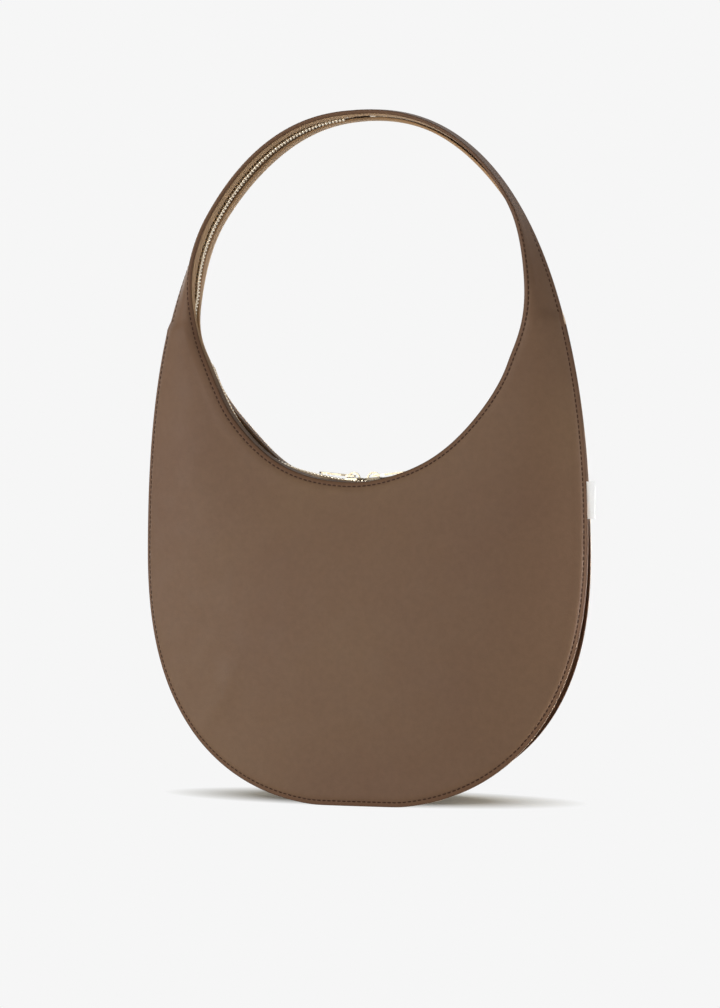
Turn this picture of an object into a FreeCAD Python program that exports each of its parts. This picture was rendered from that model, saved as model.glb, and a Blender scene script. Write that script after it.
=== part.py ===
import FreeCAD, Part
import math
import os

# Half moon bag: two ring-shaped leather panels, a tapering gusset and a zip round the ring.
# Front is -Y, right is +X, the floor is z = 0 and all lengths are in millimetres.

# Outline seen from the front: an egg pressed flat by its own weight
bag_height = 418.5
bag_width = 272.0
belly_height = 160.0
base_crush = 1.2
belly_power = 2.5
crown_power = 2.27

# Opening of the ring: an arc at the mouth that eases into a line along the handle
mouth_share = 0.7206
mouth_sweep = 72.0
mouth_ease = 52.0
handle_drop = 218.0
handle_depth = 5.0
handle_ease_height = 50.0

# Depth of the bag, as half widths from the middle plane
ring_half_depth = 15.5
base_half_depth = 28.0
notch_half_depth = 3.6
notch_height = 288.0
taper_power = 2.2
panel_bulge = 4.5
ridge_close_height = 7.0
ridge_power = 4.0

# Leather body
leather = 1.5
seam_gap = 0.2
edge_step = 0.3
flange_height = 4.5
gusset_leather = 1.4
gusset_gap = 0.4
gusset_tip = 0.9
skive_share = 0.6
facing_leather = 1.3
facing_gap = 0.6

# Zip
zip_gap = 12.4
tape_thickness = 0.6
tape_inner_edge = 1.6
tape_margin = 0.7
tooth_pitch = 2.2
tooth_length = 0.9
tooth_head_length = 0.7
tooth_thickness = 2.2
tooth_reach = 2.6
tooth_cross = 0.45
tooth_parting = 1.7
stop_length = 3.2
stop_gap = 0.3
zip_end_gap = 7.0

# Sliders and their pulls
slider_length = 10.4
slider_plate = 0.9
slider_rim = 0.8
slider_running_gap = 0.3
slider_slot_gap = 0.4
slider_nose_gap = 0.5
slider_round = 0.35
post_length = 3.0
post_half_width = 0.8
bridge_length = 7.6
bridge_height = 3.4
bridge_wall = 1.1
bridge_width = 1.8
bridge_setback = 0.7
bridge_shares = (0.62, 0.82, 0.72)
pull_length = 22.0
pull_width = 5.4
pull_neck_width = 4.2
pull_thickness = 1.1
pull_window_length = 3.9
pull_window_width = 2.7
pull_hole = 1.3
pull_lift = 0.4
pull_rest_gap = 0.3

# Inside
stiffener = 0.9
lining = 0.6
layer_gap = 0.2
lining_sweep = 70.0
stiffener_margin = 5.0
lining_margin = 6.0
seam_clear = 1.2
board_thickness = 1.6
board_half_width = 17.0
board_half_length = 66.0
pocket_half_width = 46.0
pocket_bottom = 62.0
pocket_drop = 47.5
pocket_cloth = 0.6

# Side label
label_height = 22.0
label_bottom = 171.0
label_out = 3.6
label_in = 3.2
label_cloth = 0.4
label_fold_gap = 0.1
label_clear = 0.15

# Sampling of the curved surfaces and a small step for slopes
pouch_steps = 20
close_steps = 4
handle_steps = 14
strip_steps = 40
opening_steps = 60
panel_shares = (0.0, 0.12, 0.3, 0.5, 0.7, 0.85, 0.95, 1.0)
section_shares = (0.0, 0.22, 0.5, 0.78, 1.0)
slope_step_share = 0.001
edge_slope_share = 0.02
blend_power = 4.0
overrun = 20.0

axis_y = FreeCAD.Vector(0, 1, 0)
half_width = bag_width / 2
mouth_radius = half_width * mouth_share
mouth_sill_height = bag_height - handle_depth - handle_drop
ring_centre = mouth_sill_height + mouth_radius
sweep = math.radians(mouth_sweep)
ease = math.radians(mouth_ease)


def egg(x, z):
    # Below 1 inside the outline, above 1 outside it
    if z < belly_height:
        drop = (belly_height - z) / (belly_height + base_crush)
        return (abs(x) / half_width) ** belly_power + drop ** belly_power
    rise = (z - belly_height) / (bag_height - belly_height)
    return (abs(x) / half_width) ** crown_power + rise ** crown_power


def outline_reach(phi):
    # Distance from the ring's centre to the outline, phi measured from straight down
    low = 0.0
    high = bag_height
    for _ in range(60):
        mid = (low + high) / 2
        if egg(mid * math.sin(phi), ring_centre - mid * math.cos(phi)) < 1:
            low = mid
        else:
            high = mid
    return low


def panel_reach(phi):
    reach = outline_reach(phi) - edge_step
    if math.cos(phi) > 0:
        reach = min(reach, (ring_centre - edge_step) / math.cos(phi))
    return reach


def smooth(t):
    t = min(1.0, max(0.0, t))
    return t * t * (3 - 2 * t)


def opening_reach(phi):
    # Distance from the ring's centre to the opening: a circle at the mouth, parallel to the outline above
    blend = smooth((abs(phi) - sweep) / ease)
    if blend == 0:
        return mouth_radius
    return mouth_radius * (1 - blend) + (outline_reach(abs(phi)) - handle_depth) * blend


def outline_height(phi):
    return ring_centre - outline_reach(phi) * math.cos(phi)


def edge_half_depth(phi):
    # Half depth at the outer edge: the gusset's taper, then the closed ridge of the handle
    height = outline_height(phi)
    if height <= notch_height:
        drop = min(1.0, (notch_height - height) / notch_height)
        return notch_half_depth + (base_half_depth - notch_half_depth) * drop ** taper_power
    fade = smooth((height - notch_height) / ridge_close_height)
    return notch_half_depth + (seam_gap / 2 - notch_half_depth) * fade


def handle_blend(phi):
    # 0 on the pouch, 1 on the handle, where the panel rounds over to the ridge
    return smooth((outline_height(phi) - notch_height) / handle_ease_height)


def panel_point(u, phi):
    # Outer face of the front panel, u from the opening's edge to the outer edge
    phi_abs = abs(phi)
    inner = opening_reach(phi_abs)
    width = panel_reach(phi_abs) - inner
    edge = edge_half_depth(phi_abs)
    m = handle_blend(phi_abs)
    angle = u * math.pi / 2
    sine = math.sin(angle) ** (2 / ridge_power)
    cosine = max(0.0, math.cos(angle)) ** (2 / ridge_power)
    straight = ring_half_depth + (edge - ring_half_depth) * u + panel_bulge * math.sin(math.pi * u)
    rounded = edge + (ring_half_depth - edge) * cosine
    reach = inner + width * ((1 - m) * u + m * sine)
    depth = (1 - m) * straight + m * rounded
    return FreeCAD.Vector(reach * math.sin(phi), -depth, ring_centre - reach * math.cos(phi))


def panel_normal(u, phi):
    # Unit normal pointing into the bag
    u0 = max(0.0, u - slope_step_share)
    u1 = min(1.0, u + slope_step_share)
    du = panel_point(u1, phi) - panel_point(u0, phi)
    dp = panel_point(u, phi + slope_step_share) - panel_point(u, phi - slope_step_share)
    n = du.cross(dp)
    n.normalize()
    if n.dot(FreeCAD.Vector(-math.sin(phi), 1, math.cos(phi))) < 0:
        n = n * -1
    return n


def layer_point(u, phi, depth):
    # Point at a depth below the outer face, kept on its own side of the middle plane
    p = panel_point(u, phi)
    if depth == 0:
        return p
    n = axis_y if u == 0 else panel_normal(u, phi)
    q = p + n * depth
    q.y = min(q.y, -seam_gap / 2)
    return q


def share_at(reach_in, phi):
    # Panel share at a distance outward from the opening's edge
    width = panel_reach(abs(phi)) - opening_reach(abs(phi))
    target = reach_in / width
    low = 0.0
    high = 1.0
    for _ in range(40):
        mid = (low + high) / 2
        p = panel_point(mid, phi)
        reach = math.hypot(p.x, p.z - ring_centre) - opening_reach(abs(phi))
        if reach < target * width:
            low = mid
        else:
            high = mid
    return (low + high) / 2


def panel_width(phi):
    return panel_reach(abs(phi)) - opening_reach(abs(phi))


def surface(grid):
    s = Part.BSplineSurface()
    s.interpolate(grid)
    return s


def spline(points):
    c = Part.BSplineCurve()
    c.interpolate(points)
    return c.toShape()


def solid_of(faces):
    shell = Part.makeShell(faces)
    shell.sewShape()
    solid = Part.makeSolid(shell)
    if solid.Volume < 0:
        solid.reverse()
    return solid


def rims(outer, inner, with_ends):
    # Ruled faces that join the borders of two surfaces
    u0, u1, v0, v1 = outer.bounds()
    pairs = [(outer.uIso(u), inner.uIso(u)) for u in (u0, u1)]
    if with_ends:
        pairs += [(outer.vIso(v), inner.vIso(v)) for v in (v0, v1)]
    return [Part.makeRuledSurface(a.toShape(), b.toShape()) for a, b in pairs]


def mirrored(shape, normal):
    return shape.mirror(FreeCAD.Vector(0, 0, 0), normal)


def outline_angles(first, last, steps):
    # Angles that divide the outline between two angles into equal lengths
    fine = 400
    angles = [first + (last - first) * i / fine for i in range(fine + 1)]
    lengths = [0.0]
    for a, b in zip(angles, angles[1:]):
        pa = panel_point(1.0, a)
        pb = panel_point(1.0, b)
        lengths.append(lengths[-1] + math.hypot(pa.x - pb.x, pa.z - pb.z))
    out = []
    k = 0
    for i in range(steps + 1):
        want = lengths[-1] * i / steps
        while k < fine - 1 and lengths[k + 1] < want:
            k += 1
        t = (want - lengths[k]) / (lengths[k + 1] - lengths[k])
        out.append(angles[k] + (angles[k + 1] - angles[k]) * min(1.0, t))
    return out


def height_angle(height):
    # Angle at which the outline reaches a height
    low = 0.0
    high = math.pi
    for _ in range(50):
        mid = (low + high) / 2
        if outline_height(mid) < height:
            low = mid
        else:
            high = mid
    return low


def front_panel():
    below = height_angle(notch_height - 2 * ridge_close_height)
    notch = height_angle(notch_height)
    closed = height_angle(notch_height + ridge_close_height)
    above = height_angle(notch_height + 3 * ridge_close_height)
    angles = outline_angles(0, below, pouch_steps)
    angles += outline_angles(below, notch, close_steps)[1:]
    angles += outline_angles(notch, closed, close_steps)[1:]
    angles += outline_angles(closed, above, close_steps)[1:]
    angles += outline_angles(above, math.pi, handle_steps)[1:]
    outer = [[layer_point(u, a, 0) for a in angles] for u in panel_shares]
    inner = [[layer_point(u, a, leather) for a in angles] for u in panel_shares]
    for row in outer + inner:
        row[0].x = 0
        row[-1].x = 0
    outer = surface(outer)
    inner = surface(inner)
    faces = [outer.toShape(), inner.toShape()] + rims(outer, inner, False)
    faces += [mirrored(f, FreeCAD.Vector(1, 0, 0)) for f in faces]
    return solid_of(faces)


def layer_patch(first, last, start, stop, top, bottom, steps):
    # Sheet below the panel between two angles, from start to stop inside the panel's width
    angles = outline_angles(first, last, steps)
    grids = []
    for depth in (top, bottom):
        grid = []
        for s in section_shares:
            row = []
            for a in angles:
                reach = start + (panel_width(a) - start - stop) * s
                row.append(layer_point(share_at(reach, a), a, depth))
            grid.append(row)
        grids.append(grid)
    return closed_patch(grids[0], grids[1])


def closed_patch(top, bottom):
    top = surface(top)
    bottom = surface(bottom)
    return solid_of([top.toShape(), bottom.toShape()] + rims(top, bottom, True))


def strip(sections):
    # Solid through polygon sections that all have the same number of corners
    corners = len(sections[0])
    rails = [spline([s[i] for s in sections]) for i in range(corners)]
    faces = [Part.makeRuledSurface(rails[i], rails[(i + 1) % corners]) for i in range(corners)]
    for s in (sections[0], sections[-1]):
        faces.append(Part.Face(Part.makePolygon(s + [s[0]])))
    return solid_of(faces)


def at_reach(phi, reach, y):
    return FreeCAD.Vector(reach * math.sin(phi), y, ring_centre - reach * math.cos(phi))


def flange_angles(end, steps):
    # The outline without its flat, for pieces that are cut level afterwards
    half = outline_angles(0, end, steps // 2)
    return [-a for a in reversed(half[1:])] + half


def reach_of(p):
    return math.hypot(p.x, p.z - ring_centre)


def layer_y(phi, depth, reach):
    # The layer at a depth under the panel, carried on straight beyond the panel's edge
    low = 0.0
    high = 1.0
    for _ in range(40):
        mid = (low + high) / 2
        if reach_of(layer_point(mid, phi, depth)) < reach:
            low = mid
        else:
            high = mid
    p = layer_point(high, phi, depth)
    if reach_of(p) >= reach:
        return p.y
    q = layer_point(1 - edge_slope_share, phi, depth)
    return p.y + (reach - reach_of(p)) * (p.y - q.y) / (reach_of(p) - reach_of(q))


def soft_min(a, b):
    return (a ** -blend_power + b ** -blend_power) ** (-1 / blend_power)


def soft_max(a, b):
    return (max(0.0, a) ** blend_power + b ** blend_power) ** (1 / blend_power)


def gusset_section(phi):
    # Channel with flanges along the panels, skived thin where they meet at the notch
    reach = outline_reach(phi)
    near = leather + gusset_gap
    web_reach = reach - flange_height
    fold_reach = web_reach - gusset_leather
    tip = soft_max(-layer_y(phi, near, reach), gusset_tip)
    fold = -layer_y(phi, near, fold_reach)
    slope = (fold - tip) / (reach - fold_reach)
    across = gusset_leather * math.sqrt(1 + slope ** 2)
    tip_inside = tip - soft_min(across, tip * skive_share)
    web = tip + slope * flange_height - across
    half = [(reach, -tip), (reach, -tip_inside), (web_reach, -web)]
    back = [(r, -y) for r, y in reversed(half)]
    corners = half + back + [(fold_reach, fold), (fold_reach, -fold)]
    return [at_reach(phi, r, y) for r, y in corners]


def gusset():
    channel = strip([gusset_section(a) for a in flange_angles(height_angle(notch_height), strip_steps)])
    floor = Part.makeBox(bag_width, bag_width, overrun, FreeCAD.Vector(-half_width, -half_width, -overrun))
    return channel.cut(floor).cut(label_slot())


def opening_point(phi, offset):
    # Point on the opening's edge moved outward by an offset, and the outward normal's angle from straight down
    reach = opening_reach(phi)
    slope = (opening_reach(phi + slope_step_share) - opening_reach(phi - slope_step_share)) / (2 * slope_step_share)
    angle = phi - math.atan2(slope, reach)
    point = at_reach(phi, reach, 0)
    return point + FreeCAD.Vector(math.sin(angle), 0, -math.cos(angle)) * offset, angle


def opening_wire(offset, y):
    # The opening's edge grown by an offset, in the plane at y: the mouth's arc and a spline over the crown
    shift = FreeCAD.Vector(0, y, 0)
    low = [opening_point(phi, offset)[0] + shift for phi in (-sweep, 0, sweep)]
    span = 2 * (math.pi - sweep)
    high = [low[2]]
    for k in range(1, opening_steps):
        phi = sweep + span * k / opening_steps
        phi = phi if phi <= math.pi else phi - 2 * math.pi
        high.append(opening_point(phi, offset)[0] + shift)
    high.append(low[0])
    tangent = FreeCAD.Vector(math.cos(sweep), 0, math.sin(sweep))
    back = FreeCAD.Vector(math.cos(sweep), 0, -math.sin(sweep))
    curve = Part.BSplineCurve()
    curve.interpolate(Points=high, InitialTangent=tangent, FinalTangent=back)
    return Part.Wire([Part.Arc(low[0], low[1], low[2]).toShape(), curve.toShape()])


def ring_band(inner_offset, thickness, y0, y1):
    outer = Part.Face(opening_wire(inner_offset + thickness, y0))
    inner = Part.Face(opening_wire(inner_offset, y0))
    return outer.cut(inner).extrude(FreeCAD.Vector(0, y1 - y0, 0))


chain_offset = facing_leather + seam_gap / 2 + tape_thickness / 2


def front_facing():
    return ring_band(0, facing_leather, -(ring_half_depth - leather - facing_gap), -zip_gap / 2)


def chain_table():
    # Angles round the ring and the chain's length from the sill to each of them
    angles = [math.pi * k / (8 * opening_steps) for k in range(8 * opening_steps + 1)]
    points = [opening_point(a, chain_offset)[0] for a in angles]
    lengths = [0.0]
    for p, q in zip(points, points[1:]):
        lengths.append(lengths[-1] + (q - p).Length)
    return angles, lengths


chain_angles, chain_lengths = chain_table()


def chain_place(s):
    # Position on the chain and its turn from straight down, s measured from the sill
    side = 1 if s >= 0 else -1
    k = 0
    while k < len(chain_lengths) - 2 and chain_lengths[k + 1] < abs(s):
        k += 1
    t = (abs(s) - chain_lengths[k]) / (chain_lengths[k + 1] - chain_lengths[k])
    point, angle = opening_point(chain_angles[k] + (chain_angles[k + 1] - chain_angles[k]) * t, chain_offset)
    return FreeCAD.Vector(side * point.x, 0, point.z), side * angle


def zip_cut():
    # Block that parts the zip at the crown, where its ends meet
    corner = FreeCAD.Vector(-zip_end_gap, -ring_half_depth, bag_height - overrun)
    return Part.makeBox(2 * zip_end_gap, 2 * ring_half_depth, overrun, corner)


def front_tape():
    edge = ring_half_depth - leather - seam_gap - tape_margin
    offset = chain_offset - tape_thickness / 2
    return ring_band(offset, tape_thickness, -edge, -tape_inner_edge).cut(zip_cut())


def parting(s):
    # How far each row of teeth stands off the middle line: apart between the two noses
    nose = slider_nose_gap / 2 + post_length
    tail = slider_nose_gap / 2 + slider_length
    return tooth_parting * (1 - smooth((abs(s) - nose) / (tail - nose)))


def tooth():
    # One tooth of the front row: a tapered block with its head across the middle line
    half = tooth_length / 2
    head = tooth_head_length / 2
    thick = tooth_thickness / 2
    wedge = Part.makeWedge(-half, -tooth_reach, -thick, -thick, -head, half, tooth_cross, thick, thick, head)
    return wedge


def teeth_row(shift, side):
    pattern = tooth()
    if side > 0:
        pattern = mirrored(pattern, axis_y)
    span = chain_lengths[-1] - zip_end_gap - stop_length - stop_gap - tooth_length / 2
    count = int((span - shift) / tooth_pitch)
    first = -int((span + shift) / tooth_pitch)
    row = []
    for k in range(first, count + 1):
        s = k * tooth_pitch + shift
        place, angle = chain_place(s)
        place.y = side * parting(s)
        turned = FreeCAD.Rotation(axis_y, -math.degrees(angle))
        copy = pattern.copy()
        copy.Placement = FreeCAD.Placement(place, turned)
        row.append(copy)
    return Part.makeCompound(row)


def end_stops():
    # Crimped stops that close both rows at each end of the zip
    stops = []
    for side in (-1, 1):
        s = side * (chain_lengths[-1] - zip_end_gap - stop_length / 2)
        place, angle = chain_place(s)
        corner = FreeCAD.Vector(-stop_length / 2, -tooth_reach, -tooth_thickness / 2)
        block = Part.makeBox(stop_length, 2 * tooth_reach, tooth_thickness, corner)
        slot_height = tape_thickness
        slot_corner = FreeCAD.Vector(-overrun, tape_inner_edge, -slot_height / 2)
        slot = Part.makeBox(2 * overrun, overrun, slot_height, slot_corner)
        block = block.cut(slot).cut(mirrored(slot, axis_y))
        block.Placement = FreeCAD.Placement(place, FreeCAD.Rotation(axis_y, -math.degrees(angle)))
        stops.append(block)
    return Part.makeCompound(stops)


channel_half_height = tooth_thickness / 2 + slider_running_gap
tail_half_width = tooth_reach + slider_running_gap + slider_rim
nose_half_width = tail_half_width + tooth_parting
plate_top = channel_half_height + slider_plate
bar_radius = pull_thickness / 2
bar_height = plate_top + pull_lift + bar_radius


def slider_outline(inset):
    # Plan of a slider: narrow tail at -x, wide round nose at +x
    tail = tail_half_width - inset
    nose = nose_half_width - inset
    end = slider_length / 2
    shoulder = end - post_length
    a = FreeCAD.Vector(-end, -tail, 0)
    b = FreeCAD.Vector(shoulder, -nose, 0)
    c = FreeCAD.Vector(end, 0, 0)
    d = FreeCAD.Vector(shoulder, nose, 0)
    e = FreeCAD.Vector(-end, tail, 0)
    edges = [Part.LineSegment(a, b).toShape(), Part.Arc(b, c, d).toShape()]
    edges += [Part.LineSegment(d, e).toShape(), Part.LineSegment(e, a).toShape()]
    return Part.Face(Part.Wire(edges))


def slider_body():
    # Two plates with rims, joined by a post at the nose that parts the rows
    slot = tape_thickness / 2 + slider_slot_gap
    plate = slider_outline(0).extrude(FreeCAD.Vector(0, 0, plate_top - slot))
    hollow = slider_outline(slider_rim).extrude(FreeCAD.Vector(0, 0, channel_half_height - slot))
    mouths = Part.makeBox(
        slider_length - post_length,
        2 * (tail_half_width - slider_rim),
        channel_half_height - slot,
        FreeCAD.Vector(-slider_length, slider_rim - tail_half_width, 0),
    )
    nose_mouth = Part.makeBox(
        post_length + overrun,
        2 * (nose_half_width - slider_rim),
        channel_half_height - slot,
        FreeCAD.Vector(slider_length / 2 - post_length, slider_rim - nose_half_width, 0),
    )
    half = plate.cut(hollow).cut(mouths).cut(nose_mouth)
    half.translate(FreeCAD.Vector(0, 0, slot))
    top_edges = [e for e in half.Edges if abs(e.BoundBox.ZMin - plate_top) < slider_rim / 8]
    half = half.makeFillet(slider_round, top_edges)
    lower = mirrored(half, FreeCAD.Vector(0, 0, 1))
    post_start = slider_length / 2 - post_length
    mid = post_start + post_length / 2
    corners = [
        FreeCAD.Vector(post_start, 0, -channel_half_height),
        FreeCAD.Vector(mid, -post_half_width, -channel_half_height),
        FreeCAD.Vector(post_start + post_length - slider_rim, 0, -channel_half_height),
        FreeCAD.Vector(mid, post_half_width, -channel_half_height),
    ]
    post = Part.Face(Part.makePolygon(corners + corners[:1])).extrude(FreeCAD.Vector(0, 0, 2 * channel_half_height))
    return half.fuse([post, lower]).removeSplitter()


def slider_bridge():
    # Arched bail on the slider's upper plate, low at the nose
    half = bridge_length / 2
    blend_share, crest_share, fall_share = bridge_shares

    def arch(grow):
        a = FreeCAD.Vector(-half + grow, 0, 0)
        b = FreeCAD.Vector(half - grow, 0, 0)
        top = bridge_height - grow
        lead = FreeCAD.Vector(-half * blend_share + grow * blend_share, 0, top * crest_share)
        trail = FreeCAD.Vector(half * blend_share, 0, top * fall_share)
        curve = Part.BSplineCurve()
        curve.interpolate([a, lead, FreeCAD.Vector(0, 0, top), trail, b])
        return Part.Face(Part.Wire([curve.toShape(), Part.LineSegment(b, a).toShape()]))

    body = arch(0).cut(arch(bridge_wall))
    solid = body.extrude(FreeCAD.Vector(0, bridge_width, 0))
    solid.translate(FreeCAD.Vector(-bridge_setback, -bridge_width / 2, plate_top))
    return solid


def pull_tab():
    # Metal tab whose end bar hangs in the bridge and which points to the slider's tail
    far = pull_length
    neck = pull_window_length + 2 * bar_radius
    half = pull_width / 2
    thin = pull_neck_width / 2
    z = -bar_radius
    p = [
        FreeCAD.Vector(0, -thin, z),
        FreeCAD.Vector(-neck, -thin, z),
        FreeCAD.Vector(-neck - half, -half, z),
        FreeCAD.Vector(-far + half, -half, z),
    ]
    q = [FreeCAD.Vector(v.x, -v.y, v.z) for v in reversed(p)]
    edges = [Part.LineSegment(a, b).toShape() for a, b in zip(p, p[1:])]
    edges.append(Part.Arc(p[-1], FreeCAD.Vector(-far, 0, z), q[0]).toShape())
    edges += [Part.LineSegment(a, b).toShape() for a, b in zip(q, q[1:])]
    edges.append(Part.LineSegment(q[-1], p[0]).toShape())
    plate = Part.Face(Part.Wire(edges)).extrude(FreeCAD.Vector(0, 0, pull_thickness))
    bar = Part.makeCylinder(bar_radius, pull_neck_width, FreeCAD.Vector(0, -thin, 0), axis_y)
    window_corner = FreeCAD.Vector(-bar_radius - pull_window_length, -pull_window_width / 2, -overrun)
    window = Part.makeBox(pull_window_length, pull_window_width, 2 * overrun, window_corner)
    hole_place = FreeCAD.Vector(-far + half, 0, -overrun)
    hole = Part.makeCylinder(pull_hole, 2 * overrun, hole_place)
    return plate.fuse(bar).cut(window).cut(hole).removeSplitter()


def pull_rest_tilt():
    # Tilt that lays the tab's far end just over the curved chain
    radius = mouth_radius + chain_offset
    teeth_top = tooth_thickness / 2
    rise = radius - math.sqrt(radius ** 2 - pull_length ** 2)
    return math.atan2(teeth_top + rise + pull_rest_gap + bar_radius - bar_height, pull_length)


def on_chain(shape, side):
    # Carries a slider piece from its own axes to its place beside the sill's middle
    radius = mouth_radius + chain_offset
    angle = math.degrees((slider_length + slider_nose_gap) / 2 / radius)
    moved = shape.copy()
    if side > 0:
        moved = mirrored(moved, FreeCAD.Vector(1, 0, 0))
    moved.translate(FreeCAD.Vector(0, 0, ring_centre - radius))
    moved.rotate(FreeCAD.Vector(0, 0, ring_centre), axis_y, -side * angle)
    return moved


def slider_pieces():
    pull = pull_tab()
    pull.rotate(FreeCAD.Vector(0, 0, 0), axis_y, math.degrees(pull_rest_tilt()))
    pull.translate(FreeCAD.Vector(-bridge_setback, 0, bar_height))
    return {"slider_body": slider_body(), "slider_bridge": slider_bridge(), "pull_tab": pull}


def front_stiffener():
    top = leather + layer_gap
    far = flange_height + gusset_leather + seam_clear
    angle = math.radians(lining_sweep)
    return layer_patch(-angle, angle, stiffener_margin, far, top, top + stiffener, strip_steps // 2)


def lining_depth():
    return leather + layer_gap + stiffener + layer_gap


def front_lining():
    top = lining_depth()
    far = flange_height + gusset_leather + lining + 2 * layer_gap + seam_clear
    angle = math.radians(lining_sweep)
    return layer_patch(-angle, angle, lining_margin, far, top, top + lining, strip_steps // 2)


def base_strip(end, drop, thickness, half_of):
    # Strip lying along the gusset's web, at a drop below the outline
    sections = []
    for a in flange_angles(end, strip_steps):
        reach = outline_reach(a)
        floor_reach = ring_centre / math.cos(a) if math.cos(a) > 0 else reach
        reach = min(reach, floor_reach)
        outer = at_reach(a, reach - drop, 0)
        inner = at_reach(a, reach - drop - thickness, 0)
        half = half_of(a)
        corners = []
        for p, y in ((outer, -half), (outer, half), (inner, half), (inner, -half)):
            corners.append(FreeCAD.Vector(p.x, y, p.z))
        sections.append(corners)
    return strip(sections)


def gusset_lining():
    drop = flange_height + gusset_leather + layer_gap

    def half_of(a):
        depth = lining_depth() + lining + layer_gap
        return soft_max(-layer_y(a, depth, outline_reach(a) - drop - lining), lining)

    return base_strip(math.radians(lining_sweep), drop, lining, half_of)


def base_board():
    drop = flange_height + gusset_leather + 2 * layer_gap + lining + seam_gap
    end = math.atan2(board_half_length, ring_centre)
    return base_strip(end, drop, board_thickness, lambda a: board_half_width)


def slip_pocket():
    # Flat pocket on the back lining, made on the front side and mirrored
    top = lining_depth() + lining + layer_gap
    pocket_top = mouth_sill_height - pocket_drop
    grids = []
    for depth in (top, top + pocket_cloth):
        grid = []
        for s in section_shares:
            z = pocket_bottom + (pocket_top - pocket_bottom) * s
            row = []
            for k in range(strip_steps // 4 + 1):
                x = pocket_half_width * (2 * k / (strip_steps // 4) - 1)
                phi = math.atan2(x, ring_centre - z)
                reach = math.hypot(x, ring_centre - z) - opening_reach(phi)
                row.append(layer_point(share_at(reach, phi), phi, depth))
            grid.append(row)
        grids.append(grid)
    return mirrored(closed_patch(grids[0], grids[1]), axis_y)


def label_place():
    # The right edge beside the label's middle, and the panel's inner face beside its top, where the bag is narrower
    middle = height_angle(label_bottom + label_height / 2)
    top = height_angle(label_bottom + label_height)
    return outline_reach(middle) * math.sin(middle), layer_point(1.0, top, leather).y + label_clear


def label_profile(x_in, x_out, y0, thickness):
    # Folded ribbon seen from above: two plies with a round fold at the outer end
    radius = thickness / 2
    mid = y0 + radius
    a = FreeCAD.Vector(x_in, y0, label_bottom)
    b = FreeCAD.Vector(x_out - radius, y0, label_bottom)
    c = FreeCAD.Vector(x_out, mid, label_bottom)
    d = FreeCAD.Vector(x_out - radius, y0 + thickness, label_bottom)
    e = FreeCAD.Vector(x_in, y0 + thickness, label_bottom)
    edges = [Part.LineSegment(a, b).toShape(), Part.Arc(b, c, d).toShape()]
    edges += [Part.LineSegment(d, e).toShape(), Part.LineSegment(e, a).toShape()]
    return Part.Face(Part.Wire(edges))


def side_label():
    x, y = label_place()
    whole = 2 * label_cloth + label_fold_gap
    outer = label_profile(x - label_in, x + label_out, y, whole)
    inner = label_profile(x - label_in, x + label_out - label_cloth, y + label_cloth, label_fold_gap)
    return outer.cut(inner).extrude(FreeCAD.Vector(0, 0, label_height))


def label_slot():
    # Notch in the gusset's front flange for the label's root
    x, y = label_place()
    whole = 2 * label_cloth + label_fold_gap + 2 * label_clear
    corner = FreeCAD.Vector(x - label_in - label_clear, y - overrun / 4, label_bottom - label_clear)
    return Part.makeBox(overrun, whole + overrun / 4 - label_clear, label_height + 2 * label_clear, corner)


def build():
    os.makedirs("parts", exist_ok=True)
    nodes = {"bottom_gusset": gusset(), "gusset_lining": gusset_lining(), "base_board": base_board()}
    for name, make in (
        ("panel", front_panel),
        ("mouth_facing", front_facing),
        ("zip_tape", front_tape),
        ("stiffener", front_stiffener),
        ("lining", front_lining),
    ):
        shape = make()
        nodes["front_" + name] = shape
        nodes["back_" + name] = mirrored(shape, axis_y)
    nodes["front_zip_teeth"] = teeth_row(0, -1)
    nodes["back_zip_teeth"] = teeth_row(tooth_pitch / 2, 1)
    nodes["zip_end_stops"] = end_stops()
    for name, shape in slider_pieces().items():
        nodes["left_" + name] = on_chain(shape, -1)
        nodes["right_" + name] = on_chain(shape, 1)
    nodes["slip_pocket"] = slip_pocket()
    nodes["side_label"] = side_label()
    for name, shape in nodes.items():
        print(name, shape.isValid(), round(shape.Volume, 1))
        shape.exportStep("parts/" + name + ".step")


build()
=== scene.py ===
import functools
import math

import bmesh
import bpy
import numpy as np
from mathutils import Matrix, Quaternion, Vector


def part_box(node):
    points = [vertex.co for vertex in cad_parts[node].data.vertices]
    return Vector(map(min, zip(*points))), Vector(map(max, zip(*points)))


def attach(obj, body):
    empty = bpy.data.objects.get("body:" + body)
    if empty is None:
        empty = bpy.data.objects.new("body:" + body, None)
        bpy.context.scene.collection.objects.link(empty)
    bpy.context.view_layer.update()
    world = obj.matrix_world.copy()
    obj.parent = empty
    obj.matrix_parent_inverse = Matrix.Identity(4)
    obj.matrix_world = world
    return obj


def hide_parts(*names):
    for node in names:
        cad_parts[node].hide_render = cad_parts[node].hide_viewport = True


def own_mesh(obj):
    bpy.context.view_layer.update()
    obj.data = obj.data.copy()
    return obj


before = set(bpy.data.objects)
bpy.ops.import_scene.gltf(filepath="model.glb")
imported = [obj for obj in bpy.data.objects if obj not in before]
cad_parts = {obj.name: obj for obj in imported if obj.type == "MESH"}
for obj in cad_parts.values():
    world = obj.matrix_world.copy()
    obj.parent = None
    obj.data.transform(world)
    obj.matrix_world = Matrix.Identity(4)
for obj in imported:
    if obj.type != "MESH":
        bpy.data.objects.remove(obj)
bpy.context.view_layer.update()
print("frame loaded:", len(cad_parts), "nodes")

mm = 0.001
bothSides = (("front", -1), ("back", 1))

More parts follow.
